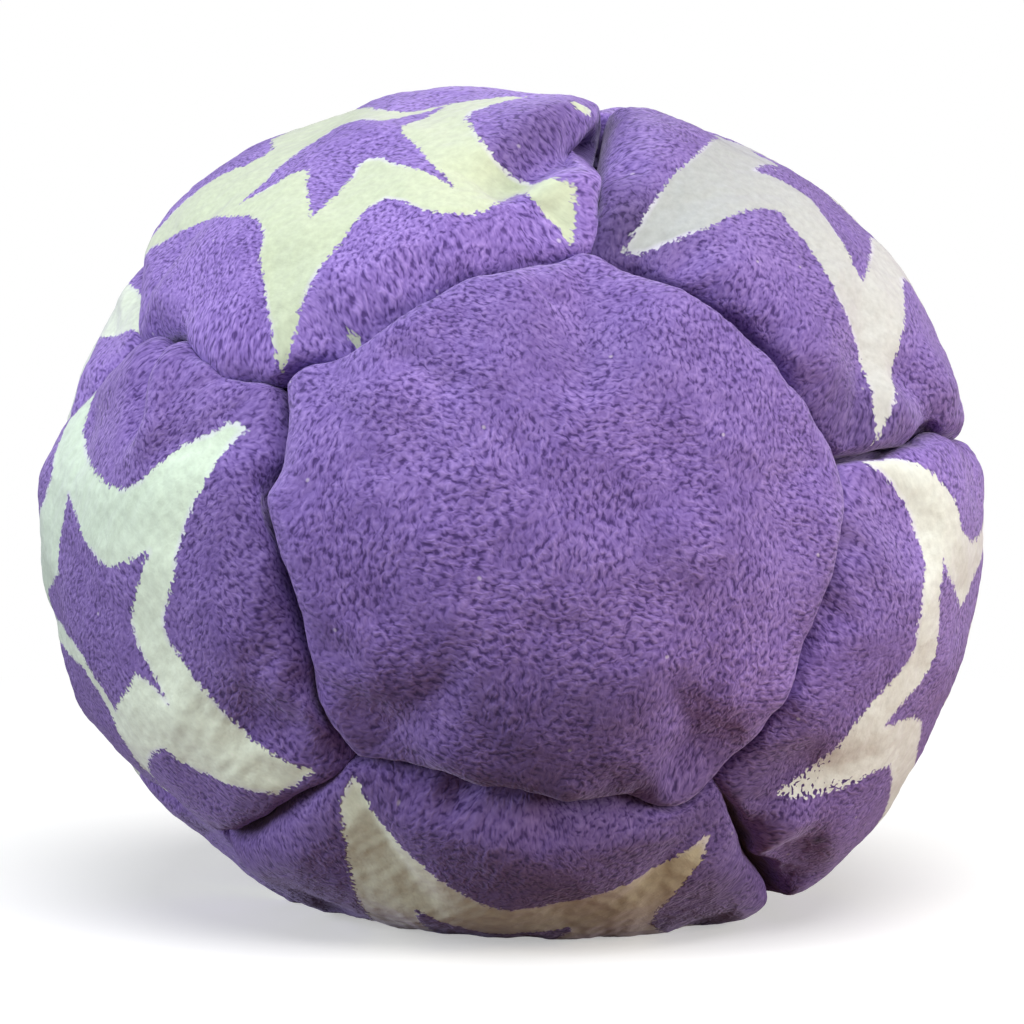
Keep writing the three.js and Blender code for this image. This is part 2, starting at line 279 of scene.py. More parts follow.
# Cloth simulation: the sewn panels swell against their stitch lines

# The cloth is simulated larger than life, for some frames, and moves at most this many mm
SWELL_SCALE = 20
SWELL_FRAMES = 24
SWELL_CAP = 2.2


def swell(panels, grid):
    """Moves of the coarse points when the panels fill out between their pinned stitch lines."""
    starts = [settle(grid.outside(panel), 0) for panel in panels]
    count = len(grid.row)
    points = np.concatenate(starts)
    faces = np.concatenate([grid.faces + count * n for n in range(len(panels))])
    pinned = np.concatenate([grid.rim + count * n for n in range(len(panels))])
    mesh = new_mesh("swelling", points * SWELL_SCALE, faces)
    cloth_object = bpy.data.objects.new("swelling", mesh)
    bpy.context.collection.objects.link(cloth_object)
    group = cloth_object.vertex_groups.new(name="stitch_line")
    group.add([int(i) for i in pinned], 1.0, "REPLACE")
    modifier = cloth_object.modifiers.new("swell", "CLOTH")
    settings = modifier.settings
    settings.quality = 6
    settings.mass = 0.3
    settings.tension_stiffness = 25
    settings.compression_stiffness = 25
    settings.shear_stiffness = 8
    settings.bending_stiffness = 1.2
    settings.air_damping = 2.5
    settings.vertex_group_mass = group.name
    settings.use_pressure = True
    settings.uniform_pressure_force = 2.0
    settings.shrink_min = -0.08
    settings.effector_weights.gravity = 0
    scene = bpy.context.scene
    modifier.point_cache.frame_start = 1
    modifier.point_cache.frame_end = SWELL_FRAMES
    for step in range(1, SWELL_FRAMES + 1):
        scene.frame_set(step)
    shown = cloth_object.evaluated_get(bpy.context.evaluated_depsgraph_get())
    moved = np.zeros(3 * len(points), np.float32)
    shown.data.vertices.foreach_get("co", moved)
    moved = moved.reshape(-1, 3) / (MM * SWELL_SCALE)
    scene.frame_set(1)
    bpy.data.objects.remove(cloth_object)
    bpy.data.meshes.remove(mesh)
    move = moved - points
    size = np.linalg.norm(move, axis=1, keepdims=True)
    move *= np.minimum(1, SWELL_CAP / np.maximum(size, 1e-6))
    return np.split(move, len(panels))


panels = make_net()
coarse = Grid(COARSE)
fine = Grid(FINE)
moves = swell(panels, coarse)


def inner_rows(panel):
    """Closed rows below the stitch line: seam allowance, its back, and the inside of the cloth."""
    share = np.tile(np.arange(FINE) / FINE, 5)
    side = np.repeat(np.arange(5), FINE)

    def around(inset, sink):
        row = np.zeros((5 * FINE, 3))
        for k in range(5):
            here = side == k
            row[here] = panel.side_points(k, share[here], inset, sink)
        return row

    half = math.sqrt(0.5)
    edge = around(ROLL_WIDTH, EDGE_DROP + LINING)
    half_inset = BACK + (ROLL_WIDTH - BACK) * (1 - half)
    half_sink = SEAM_SINK - (SEAM_SINK - EDGE_DROP - LINING) * half
    rows = [
        around(FACE, SEAM_SINK + FLANGE),
        around(BACK, SEAM_SINK + FLANGE),
        around(BACK, SEAM_SINK),
        around(half_inset, half_sink),
        edge,
        panel.dome_points(edge, np.full(5 * FINE, LAST_ROW), LINING),
    ]
    pole = panel.middle * (outline(panel.middle) - LINING)
    # All but the first row stay a cloth's thickness above the ground
    floors = [0] + [FABRIC] * 5
    return [settle(row, floor) for row, floor in zip(rows, floors)], settle(pole[None], FABRIC)


def point_normals(points, faces):
    a, b, c = [points[corner] for corner in faces.T]
    normal = np.cross(b - a, c - a)
    total = np.zeros_like(points)
    for axis in range(3):
        for corner in faces.T:
            total[:, axis] += np.bincount(corner, normal[:, axis], len(points))
    return unit(total)


# Star prints as they lie on the cut pieces, whose corners have radius 1: first the star and then
# the hole in it. A ring of ten points gives tips and valleys in turn, and a longer one its whole
# edge. The panels without prints of their own have a regular star.
PRINTS = {
    1: (
        [(0.028, 0.82), (-0.03, 0.784), (-0.063, 0.756), (-0.088, 0.73), (-0.089, 0.704),
         (-0.076, 0.674), (-0.109, 0.61), (-0.092, 0.563), (-0.089, 0.519), (-0.111, 0.451),
         (-0.195, 0.331), (-0.25, 0.305), (-0.42, 0.335), (-0.31, 0.15), (-0.265, 0.1),
         (-0.262, 0.061), (-0.29, -0.008), (-0.367, -0.086), (-0.6, -0.42), (-0.26, -0.275),
         (-0.179, -0.217), (-0.114, -0.213), (-0.065, -0.265), (-0.032, -0.371), (0.16, -0.74),
         (0.275, -0.205), (0.29, -0.07), (0.327, 0.019), (0.39, 0.08), (0.47, 0.1),
         (0.79, 0.275), (0.36, 0.33), (0.24, 0.33), (0.193, 0.36), (0.195, 0.42),
         (0.213, 0.477), (0.205, 0.539), (0.167, 0.603), (0.106, 0.633), (0.0, 0.632),
         (-0.045, 0.627), (-0.007, 0.7), (0.015, 0.748), (0.02, 0.782)],
        [(0.08, 0.515), (-0.111, 0.203), (-0.314, 0.177), (-0.17, 0.1), (-0.2, -0.05),
         (-0.06, -0.09), (0.226, -0.163), (0.081, 0.033), (0.305, 0.192), (0.017, 0.203)],
    ),
    2: (
        [(0.046, 0.76), (0.015, 0.727), (0.01, 0.675), (-0.026, 0.585), (-0.026, 0.516),
         (-0.038, 0.436), (-0.084, 0.357), (-0.175, 0.286), (-0.287, 0.232), (-0.451, 0.169),
         (-0.549, 0.146), (-0.623, 0.159), (-0.67, 0.186), (-0.69, 0.12), (-0.665, 0.06),
         (-0.59, 0.025), (-0.486, -0.005), (-0.46, -0.08), (-0.48, -0.3), (-0.6, -0.65),
         (-0.23, -0.4), (-0.05, -0.26), (0.031, -0.205), (0.109, -0.235), (0.204, -0.295),
         (0.25, -0.364), (0.38, -0.7), (0.354, -0.296), (0.352, -0.257), (0.361, -0.166),
         (0.389, -0.092), (0.436, -0.103), (0.495, -0.077), (0.581, -0.025), (0.654, 0.021),
         (0.698, 0.059), (0.729, 0.126), (0.75, 0.204), (0.722, 0.195), (0.666, 0.178),
         (0.575, 0.164), (0.492, 0.182), (0.409, 0.197), (0.312, 0.204), (0.251, 0.207),
         (0.216, 0.242), (0.208, 0.288), (0.192, 0.361), (0.165, 0.406), (0.137, 0.484),
         (0.117, 0.561), (0.104, 0.622), (0.069, 0.7), (0.058, 0.743)],
        [(-0.363, 0.076), (-0.274, 0.096), (-0.134, 0.115), (-0.041, 0.147), (0.013, 0.188),
         (0.056, 0.256), (0.097, 0.341), (0.107, 0.283), (0.119, 0.209), (0.132, 0.133),
         (0.188, 0.103), (0.253, 0.096), (0.341, 0.073), (0.271, 0.065), (0.215, 0.035),
         (0.218, -0.039), (0.2, -0.21), (0.096, -0.183), (0.02, -0.16), (-0.054, -0.18),
         (-0.3, -0.36), (-0.325, -0.3), (-0.222, -0.1), (-0.286, -0.046), (-0.325, 0.031)],
    ),
    3: (
        [(-0.012, 0.815), (-0.043, 0.783), (-0.064, 0.757), (-0.089, 0.699), (-0.137, 0.565),
         (-0.18, 0.423), (-0.26, 0.22), (-0.34, 0.08), (-0.65, -0.3), (-0.38, -0.3),
         (-0.5, -0.75), (-0.02, -0.4), (0.52, -0.66), (0.37, -0.24), (0.39, -0.11),
         (0.457, -0.003), (0.594, 0.092), (0.661, 0.124), (0.72, 0.178), (0.659, 0.183),
         (0.573, 0.188), (0.459, 0.21), (0.332, 0.215), (0.238, 0.235), (0.16, 0.275),
         (0.122, 0.34), (0.088, 0.452), (0.061, 0.546), (0.031, 0.642), (0.012, 0.721)],
        [(-0.048, 0.342), (-0.15, 0.08), (-0.36, -0.1), (-0.18, -0.12), (-0.28, -0.36),
         (-0.02, -0.2), (0.22, -0.34), (0.12, -0.05), (0.253, 0.06), (0.05, 0.12)],
    ),
    4: (
        [(-0.061, 0.692), (-0.089, 0.668), (-0.096, 0.585), (-0.084, 0.496), (-0.073, 0.426),
         (-0.056, 0.365), (-0.073, 0.287), (-0.168, 0.227), (-0.266, 0.171), (-0.374, 0.111),
         (-0.62, -0.03), (-0.3, -0.15), (-0.5, -0.7), (0.0, -0.38), (0.4, -0.72),
         (0.394, -0.278), (0.408, -0.18), (0.423, -0.121), (0.489, -0.03), (0.547, -0.034),
         (0.598, -0.028), (0.658, 0.004), (0.709, 0.041), (0.74, 0.072), (0.764, 0.116),
         (0.785, 0.156), (0.8, 0.19), (0.772, 0.199), (0.744, 0.181), (0.71, 0.166),
         (0.668, 0.151), (0.623, 0.149), (0.565, 0.158), (0.519, 0.167), (0.48, 0.187),
         (0.441, 0.221), (0.353, 0.254), (0.284, 0.268), (0.246, 0.302), (0.206, 0.369),
         (0.165, 0.441), (0.127, 0.494), (0.063, 0.546), (0.005, 0.585), (-0.038, 0.651)],
        [(0.471, 0.101), (0.44, 0.122), (0.391, 0.15), (0.325, 0.14), (0.287, 0.149),
         (0.211, 0.152), (0.163, 0.209), (0.145, 0.266), (0.112, 0.335), (0.088, 0.36),
         (0.081, 0.309), (0.061, 0.232), (0.017, 0.156), (-0.051, 0.114), (-0.124, 0.096),
         (-0.218, 0.054), (-0.32, 0.0), (-0.05, -0.12), (-0.15, -0.36), (0.12, -0.22),
         (0.33, -0.34), (0.303, -0.139), (0.288, -0.082), (0.271, -0.021), (0.357, 0.043),
         (0.424, 0.095)],
    ),
    5: (
        [(-0.083, 0.782), (-0.089, 0.748), (-0.109, 0.702), (-0.121, 0.655), (-0.129, 0.53),
         (-0.14, 0.436), (-0.18, 0.308), (-0.218, 0.198), (-0.26, 0.16), (-0.72, 0.1),
         (-0.36, -0.2), (-0.45, -0.72), (0.0, -0.42), (0.5, -0.7), (0.33, -0.27),
         (0.345, -0.22), (0.482, -0.031), (0.591, 0.088), (0.667, 0.186), (0.718, 0.256),
         (0.745, 0.3), (0.692, 0.317), (0.622, 0.31), (0.514, 0.278), (0.414, 0.215),
         (0.314, 0.168), (0.254, 0.162), (0.243, 0.206), (0.198, 0.257), (0.155, 0.342),
         (0.107, 0.445), (0.012, 0.545), (-0.04, 0.647), (-0.061, 0.721)],
        [(0.278, -0.035), (0.174, -0.011), (0.11, 0.04), (0.068, 0.15), (0.038, 0.261),
         (-0.002, 0.336), (-0.051, 0.225), (-0.193, 0.007), (-0.36, -0.06), (-0.16, -0.18),
         (-0.22, -0.42), (0.0, -0.3), (0.1, -0.4), (0.1, -0.25)],
    ),
    7: (
        [(-0.06, 0.93), (-0.36, 0.43), (-0.88, 0.3), (-0.36, -0.1), (-0.55, -0.75),
         (0.0, -0.38), (0.55, -0.75), (0.36, -0.1), (0.88, 0.3), (0.01, 0.42)],
        [(-0.1, 0.4), (-0.16, 0.1), (-0.42, 0.13), (-0.16, -0.05), (-0.26, -0.36),
         (0.0, -0.17), (0.26, -0.36), (0.16, -0.05), (0.42, 0.13), (0.06, 0.16)],
    ),
}
# Tips and valleys of the regular star and of its hole
REGULAR_STAR, REGULAR_HOLE = (0.8, 0.36), (0.38, 0.16)
# Radius of the cut piece in mm
FLAT_RADIUS = 20.0
# Depth in the print, in mm, that stands for none
NO_INK = -9.0
# Colours of a print, partly its own pale ink and partly painted light and shade, lighter or
# darker by panel and across it: a place on the cut piece and its colour, and another place and its
# colour
INKS_WITH_PAINTED_LIGHT = {
    1: ((0.48, 0.19), (0.56, 0.64, 0.46), (-0.15, 0.38), (0.56, 0.63, 0.45)),
    2: ((-0.03, 0.37), (0.62, 0.75, 0.6), (0.5, 0.12), (0.9, 1.0, 0.82)),
    3: ((-0.07, 0.56), (0.9, 1.0, 0.8), (0.46, 0.1), (0.62, 0.58, 0.4)),
    4: ((0.62, 0.11), (0.7, 0.74, 0.68), (0.03, 0.48), (0.92, 1.0, 0.98)),
    5: ((0.58, 0.2), (0.41, 0.44, 0.43), (-0.08, 0.43), (0.58, 0.6, 0.58)),
}
OTHER_INK = (0.68, 0.76, 0.62)
# Painted light and shade on the purple, lighter or darker panel by panel
PANEL_PAINTED_SHADES = {0: 0.88, 1: 1.05, 2: 0.85, 3: 0.72, 5: 0.85}
# Painted shade in the creases, and its lightness there. They start at a share of the way from the
# middle of a panel to the stitch line, and the lightness falls to theirs over another share
# before that.
CREASE_SHADE = 0.5
CREASE_START, CREASE_FADE = 0.97, 0.1
# Painted shade and light on the purple, in listed places: panel, place and reach on the cut piece,
# and loss of light. A loss below zero paints light and makes the place lighter.
PAINTED_SHADE_SPOTS = [
    (0, (0.0, -0.75), (0.45, 0.22), 0.45),
    (0, (0.0, -0.4), (0.3, 0.15), 0.25),
    (0, (0.0, 0.45), (0.35, 0.12), 0.15),
    (0, (0.45, -0.35), (0.25, 0.2), -0.35),
    (1, (-0.22, 0.52), (0.24, 0.09), 0.45),
    (2, (0.3, 0.53), (0.25, 0.15), 0.2),
    (3, (0.65, 0.1), (0.25, 0.3), 0.15),
    (4, (-0.04, 0.74), (0.25, 0.15), 0.3),
    (4, (0.6, 0.36), (0.2, 0.2), 0.25),
    # A tiny dark dot of painted shade for a pinhole
    (4, (-0.287, 0.486), (0.018, 0.018), 0.9),
    (5, (0.72, 0.24), (0.16, 0.12), 0.6),
    (5, (-0.035, 0.749), (0.2, 0.12), 0.35),
]
# Stray flecks of print: panel, place on the cut piece, and radius in mm
FLECKS = [(1, (0.602, 0.405), 0.28), (1, (-0.43, 0.476), 0.45)]
# Places where the print is rubbed: panel, place and reach on the cut piece
RUBBED = [(4, (-0.1, 0.6), 0.18)]
# Size of the seam allowance's outer edge to that of the stitch line, in the pattern of the nap
ALLOWANCE_SPREAD = 1.1
# Step from panel to panel in the pattern of the nap, in mm, so that no two are alike
NAP_STEP = np.array([57, 31, 0])


def regular_star(tip, valley, number):
    """Tips and valleys of a star that points to the back panel's corners or another's sides."""
    chance = np.random.default_rng(number)
    turn = np.radians((90 if number == 11 else 126) + 36 * np.arange(10) + chance.uniform(-5, 5))
    reach = np.where(np.arange(10) % 2 == 0, tip, valley)
    ring = np.stack([np.cos(turn), np.sin(turn)], 1) * reach[:, None]
    return ring + chance.uniform(-0.04, 0.04, 2)


def curved(ring, reach=0.3):
    """Tips and valleys in turn, with each valley bent into a curve through it."""
    ring = np.asarray(ring)
    share = np.linspace(0, 1, 7)[:, None]
    curve = []
    for n in range(0, len(ring), 2):
        tip, valley, after = ring[n], ring[n + 1], ring[(n + 2) % len(ring)]
        start, end = valley + reach * (tip - valley), valley + reach * (after - valley)
        bend = 2 * valley - (start + end) / 2
        arc = start * (1 - share) ** 2 + 2 * bend * share * (1 - share) + end * share**2
        curve += [tip[None], arc]
    return np.concatenate(curve)


def depth_inside(flat, ring):
    """Signed distance from the edge of a closed shape, above zero inside it."""
    ring = np.asarray(ring)
    nearest = np.full(len(flat), 1e9)
    inside = np.zeros(len(flat), bool)
    for a, b in zip(ring, np.roll(ring, -1, axis=0)):
        edge, offset = b - a, flat - a
        share = np.clip(offset @ edge / (edge @ edge), 0, 1)
        nearest = np.minimum(nearest, np.linalg.norm(offset - share[:, None] * edge, axis=1))
        crosses = (a[1] > flat[:, 1]) != (b[1] > flat[:, 1])
        rise = np.where(crosses, b[1] - a[1], 1)
        inside ^= crosses & (flat[:, 0] < (b[0] - a[0]) * (flat[:, 1] - a[1]) / rise + a[0])
    return np.where(inside, nearest, -nearest)


# Rounds of smoothing for the simulated moves
SMOOTHING = 14
# How far the cloth of the panels behind the front ring may sink below the full shape, in mm
DEEPEST = 0.7
# How closely the stitches draw the edges of the panels together, and how far from the seam
PINCH, PINCH_WIDTH = 0.8, 1.6
# The seams of the front panel are drawn in to its middle: angle from it, half width, and pull in mm
FRONT_PULL = 44, 16, 1.25
# The last rows before the stitch line, as a share of all, are held by it
STITCH_HOLD = 0.05
# Tugs that carry the seams along: place, way and reach, in mm. They start at a share of the way
# from the middle of a panel to the stitch line, and grow to their full strength over another.
SEAM_START, SEAM_GROWTH = 0.7, 0.2
SEAM_TUGS = [
    ((-7.1, -21.0, 11.4), (0, 0, 0.7), 2.8),
    ((-4.8, -23.2, 10.7), (0.9, 0, 1.1), 2.8),
    ((-1.7, -21.6, 10.7), (0, 0, -0.3), 2.4),
    ((-0.1, -22.3, 9.9), (0.7, 0, 1.5), 2.8),
    ((2.8, -23.9, 10.1), (-0.1, 0, -0.9), 2.8),
    ((5.9, -22.0, 9.7), (-0.1, 0, 1.0), 2.8),
    ((8.9, -21.3, 10.1), (-0.1, 0, -1.2), 2.8),
    ((11.5, -19.5, 10.2), (-0.4, 0, 0.8), 2.6),
    ((10.6, -20.3, 9.4), (0.2, 0, -1.0), 1.7),
    ((-6.2, -22.6, 34.9), (0, -1.5, 0), 2.4),
    ((-12.9, -21.7, 29.7), (1.0, 0, -0.4), 2.8),
    ((-12.8, -22.7, 26.7), (-1.2, 0, 0.1), 2.8),
    ((-10.6, -22.0, 14.6), (-0.8, 0, -0.2), 2.4),
    ((19.0, -17.8, 27.5), (-0.8, 0, 0), 2.8),
    ((18.4, -19.5, 22.3), (-0.7, 0, 0.1), 2.8),
    ((16.4, -19.7, 17.6), (-0.6, 0, 0.4), 2.8),
    ((15.4, -20.0, 15.3), (0.4, 0, 0), 2.8),
    ((13.1, -18.8, 12.1), (0.2, 0, -0.2), 2.8),
    ((5.4, -19.2, 39.9), (-0.1, 0, -0.5), 2.8),
    ((13.0, -19.2, 35.1), (0.2, 0, 0.3), 2.8),
    ((17.4, -17.9, 30.5), (-0.7, 0, -0.5), 2.8),
    ((-11.7, -20.7, 33.1), (-0.1, 0, 0.4), 2.4),
    ((-9.0, -20.5, 36.0), (0.2, 0, -0.4), 5.0),
    ((-2.0, -20.0, 39.0), (0.1, 0, -0.4), 5.0),
    ((-8.7, -20.6, 36.0), (1.0, 0, -1.8), 2.8),
    ((-5.9, -20.6, 37.5), (0.6, 0, -0.7), 2.8),
    ((0.5, -19.2, 39.8), (0.1, 0, -1.1), 2.8),
    ((-16.3, -18.6, 33.6), (-0.2, 0, -0.9), 2.4),
    ((-21.5, -9.7, 35.4), (1.0, 0, -0.2), 2.4),
    ((-23.4, -10.0, 34.2), (-0.3, 0, -1.1), 3.0),
    ((-11.8, -16.7, 9.1), (-0.4, 0, 0.4), 2.8),
    ((20.6, -14.7, 29.1), (0, 0, -0.2), 2.8),
    ((24.6, -8.4, 29.4), (-0.2, 0, 0.6), 2.8),
    ((4.1, -17.9, 42.5), (0.5, 0, -0.1), 2.8),
]
# Tugs that move all the cloth near their place
CLOTH_TUGS = [
    ((-18.2, -4.0, 45.3), (-0.4, 0, 0.5), 5.0),
    ((19.3, -4.0, 3.4), (0.9, 0, -0.8), 7.0),
    ((16.5, -5.0, 2.0), (0.2, 0, -0.9), 4.5),
    ((14.2, -8.0, 3.0), (0.6, 0, -0.2), 3.5),
    ((-25.8, -4.0, 35.9), (0.8, 0, -0.35), 5.5),
    ((-23.3, -4.0, 7.6), (0.33, 0, 0.23), 6.0),
    ((-10.0, -10.0, 0.5), (0, 0, 0.9), 6.0),
    ((-26.3, -9.0, 28.5), (-0.6, 0, 0), 4.0),
    ((-28.3, 0.0, 28.5), (0.7, 0, 0), 4.5),
    ((-20.1, -14.2, 35.3), (0.8, 0, 0.1), 2.8),
    ((27.3, -5.0, 32.0), (-0.4, 0, -0.3), 3.0),
    ((28.0, -3.0, 29.0), (0.7, 0, 0.1), 4.0),
    ((12.0, -4.0, 47.0), (-0.2, 0, -0.35), 6.0),
    ((4.5, -5.0, 49.3), (0.1, 0, 0.25), 4.5),
    ((8.5, -6.0, 48.6), (0, 0, 0.5), 4.0),
    ((5.0, 2.0, 49.8), (0, 0, 0.55), 4.5),
    ((0.0, -3.0, 50.6), (0, 0, -0.35), 7.0),
    ((-13.0, -4.0, 48.0), (0.2, 0, -0.4), 4.0),
    ((0.0, -10.0, 0.2), (0, 0, 0.5), 8.0),
    ((-14.0, -5.0, 2.0), (0.25, 0, 0.35), 5.0),
]
# Folds and ridges on the cut pieces: panel, ends of the fold, half width, and height in mm
FOLDS = [
    (0, (-0.43, 0.33), (-0.33, 0.28), 0.05, -0.4),
    (0, (-0.104, 0.631), (-0.084, 0.618), 0.03, -0.4),
    (1, (-0.05, 0.47), (-0.5, 0.47), 0.09, 0.35),
    (1, (-0.07, 0.605), (-0.48, 0.605), 0.075, -1.6),
    (1, (-0.02, 0.7), (-0.33, 0.71), 0.055, 0.8),
    (1, (0.6, 0.4), (0.66, 0.42), 0.05, 0.4),
    (1, (0.7, -0.12), (0.76, 0.05), 0.06, 0.5),
    (2, (-0.34, 0.665), (-0.2, 0.69), 0.05, 0.4),
    (2, (-0.49, 0.62), (-0.16, 0.51), 0.075, 0.9),
    (2, (-0.54, 0.56), (-0.25, 0.46), 0.06, -0.9),
    (2, (-0.45, 0.5), (-0.67, 0.19), 0.07, 0.5),
    (4, (-0.375, 0.65), (-0.19, 0.625), 0.06, 0.5),
    (4, (-0.51, 0.454), (-0.3, 0.54), 0.08, -0.6),
    (5, (-0.167, 0.572), (-0.42, 0.6), 0.07, -0.8),
    (5, (-0.46, 0.56), (-0.58, 0.5), 0.08, 0.6),
    (5, (-0.3, 0.484), (-0.687, 0.411), 0.1, 0.4),
]
# Lumps of the beans and the leather: height and wavelength in mm, seed and number of waves
LUMPS = [(0.1, 7, 11, 28), (0.03, 3.2, 12, 28), (0.015, 0.9, 13, 40)]


def shaped(panel, number, move):
    """Outer face of one panel: blown up, pinched, tugged and folded."""
    body = settle(fine.outside(panel), 0) + fine.smooth(coarse.refine(move, fine), SMOOTHING)
    if number > 5:
        # The beans hold up the cloth of the panels that the photo hardly shows
        full = settle(fine.outside(panel, 0, 0), 0)
        outward = unit(full - CENTRE)
        body += np.maximum(((full - body) * outward).sum(1) - DEEPEST, 0)[:, None] * outward
    # Neighbouring panels press against each other at the seam's plane
    for seam in panel.seams:
        behind = FACE - (body - CENTRE) @ seam
        body += np.maximum(behind, 0)[:, None] * seam
        # and are drawn up close to it
        away = np.maximum((body - CENTRE) @ seam - FACE, 0)
        body -= (PINCH * away * np.exp(-((away / PINCH_WIDTH) ** 2)))[:, None] * seam
    share = fine.row / fine.rows
    free = np.clip((1 - share) / STITCH_HOLD, 0, 1)
    near_seam = free * np.clip((share - SEAM_START) / SEAM_GROWTH, 0, 1)
    still = body.copy()
    aim, middle = unit(still - CENTRE), net_direction(0, 0)
    angle, width, pull = FRONT_PULL
    turned = np.degrees(np.arccos(np.clip(aim @ middle, -1, 1)))
    inward = unit(middle - (aim @ middle)[:, None] * aim + 1e-9)
    body += (free * pull * np.exp(-(((turned - angle) / width) ** 2)))[:, None] * inward
    for tugs, hold in ((SEAM_TUGS, near_seam), (CLOTH_TUGS, free)):
        for place, way, reach in tugs:
            near = hold * np.exp(-((np.linalg.norm(still - place, axis=1) / reach) ** 2))
            body += near[:, None] * np.array(way)
    normal = point_normals(body, fine.faces)
    flat = fine.flat()
    rise = sum(height * waves(still, *pattern) for height, *pattern in LUMPS)
    for owner, start, end, width, height in FOLDS:
        if owner == number:
            start, along = np.array(start), np.array(end) - np.array(start)
            part = np.clip((flat - start) @ along / (along @ along), 0, 1)
            away = np.linalg.norm(flat - start - part[:, None] * along, axis=1)
            rise += height * np.exp(-((away / width) ** 2))
    body += normal * (free * rise)[:, None]
    body[:, 2] = np.maximum(body[:, 2], 0)
    return body


def closed(body, panel):
    """Points and faces of a whole panel, with the rings from its stitch line down to the inside."""
    rows, pole = inner_rows(panel)
    points = np.concatenate([body, *rows, pole])
    count = 5 * FINE
    rings = [fine.rim] + [len(body) + n * count + np.arange(count) for n in range(len(rows))]
    faces = [fine.faces]
    for near, far in zip(rings, rings[1:]):
        near_next, far_next = np.roll(near, -1), np.roll(far, -1)
        faces += [np.stack([near, far, far_next], 1), np.stack([near, far_next, near_next], 1)]
    last = rings[-1]
    faces.append(np.stack([np.full(count, len(points) - 1), np.roll(last, -1), last], 1))
    return points, np.concatenate(faces), rings


def ink_depth(number, flat):
    """How far inside the print each point of the outer face lies, in mm."""
    depth = np.full(len(flat), NO_INK)
    if number > 0:
        regular = [regular_star(*size, number) for size in (REGULAR_STAR, REGULAR_HOLE)]
        rings = PRINTS.get(number, regular)
        star, hole = [curved(ring) if len(ring) == 10 else ring for ring in rings]
        depth = np.minimum(depth_inside(flat, star), -depth_inside(flat, hole)) * FLAT_RADIUS
    for owner, place, radius in FLECKS:
        if owner == number:
            depth = np.maximum(depth, radius - np.hypot(*(flat - place).T) * FLAT_RADIUS)
    return depth


def ink_colour_with_painted_light(number, flat):
    """Colour of the print at each point of the outer face, with its painted light and shade."""
    if number not in INKS_WITH_PAINTED_LIGHT:
        return np.tile(OTHER_INK, (len(flat), 1))
    start, colour, end, other_colour = [np.array(value) for value in INKS_WITH_PAINTED_LIGHT[number]]
    along = end - start
    part = np.clip((flat - start) @ along / (along @ along), 0, 1)[:, None]
    return colour * (1 - part) + other_colour * part


def painted_shading(number, flat):
    """Painted light and shade of the purple at each point of the outer face."""
    lit = np.clip((CREASE_START - fine.row / fine.rows) / CREASE_FADE, 0, 1)
    painted_shade = (CREASE_SHADE + (1 - CREASE_SHADE) * lit) * PANEL_PAINTED_SHADES.get(number, 1.0)
    for owner, place, reach, loss in PAINTED_SHADE_SPOTS:
        if owner == number:
            painted_shade *= 1 - loss * np.exp(-(((flat - place) / reach) ** 2).sum(1))
    return painted_shade


def rubbing(number, flat):
    """How much the print is rubbed at each point of the outer face."""
    wear = np.zeros(len(flat))
    for owner, place, reach in RUBBED:
        if owner == number:
            wear += np.exp(-((np.hypot(*(flat - place).T) / reach) ** 2))
    return wear


def unwrap(mesh, faces, rings, flat, size):
    """UV map of two islands: the outside with the seam allowance, and the inside of the cloth."""
    rim = flat[fine.rim]
    outer, inner = np.zeros((size, 2)), np.zeros((size, 2))
    outer[: len(flat)] = flat
    spreads, shrinks = (1.06, 1.1, 1.1, 1.1, 1.1, 1.1), (1, 1, 0.85, 0.78, 0.7, 0.4)
    for ring, spread, shrink in zip(rings[1:], spreads, shrinks):
        outer[ring] = rim * spread
        inner[ring] = rim * shrink
    # The first two strips of faces below the stitch line belong to the outside
    inside = np.arange(len(faces)) >= len(fine.faces) + 4 * len(rim)
    # Scale and middle of the two islands on the map
    outer_place = outer * 0.41 + (0.46, 0.52)
    inner_place = inner * 0.06 + (0.93, 0.07)
    place = np.where(inside[:, None, None], inner_place[faces], outer_place[faces])
    mesh.uv_layers.new(name="OFBake").uv.foreach_set("vector", place.astype(np.float32).ravel())


def dress(panel, number, move):
    """Finished piece of one panel, with what its material reads."""
    body = shaped(panel, number, move)
    points, faces, rings = closed(body, panel)
    mesh = new_mesh(panel.name + "_suede", points, faces)
    flat = fine.flat()

    def everywhere(outside, inside):
        """Values of the outer face, with one value for all the other points."""
        rest = np.tile(inside, (len(points) - len(body), 1))
        return np.concatenate([outside.reshape(len(body), -1), rest]).astype(np.float32).ravel()

    for name, outside, inside in (
        ("ink", ink_depth(number, flat), NO_INK),
        ("wear", rubbing(number, flat), 0.0),
        ("painted_shade", painted_shading(number, flat), CREASE_SHADE * PANEL_PAINTED_SHADES.get(number, 1.0)),
    ):
        field = mesh.attributes.new(name, "FLOAT", "POINT")
        field.data.foreach_set("value", everywhere(outside, inside))
    cloth = np.zeros((len(points), 3))
    cloth[: len(body), :2] = flat * FLAT_RADIUS
    allowance = flat[fine.rim] * FLAT_RADIUS * ALLOWANCE_SPREAD
    cloth[len(body) : -1, :2] = np.tile(allowance, (len(rings) - 1, 1))
    cloth += number * NAP_STEP
    field = mesh.attributes.new("cloth", "FLOAT_VECTOR", "POINT")
    field.data.foreach_set("vector", cloth.astype(np.float32).ravel())
    field = mesh.attributes.new("ink_with_painted_light", "FLOAT_VECTOR", "POINT")
    field.data.foreach_set("vector", everywhere(ink_colour_with_painted_light(number, flat), OTHER_INK))
    unwrap(mesh, faces, rings, flat, len(points))
    piece = bpy.data.objects.new(panel.name + "_suede", mesh)
    bpy.context.collection.objects.link(piece)
    return piece


# Materials

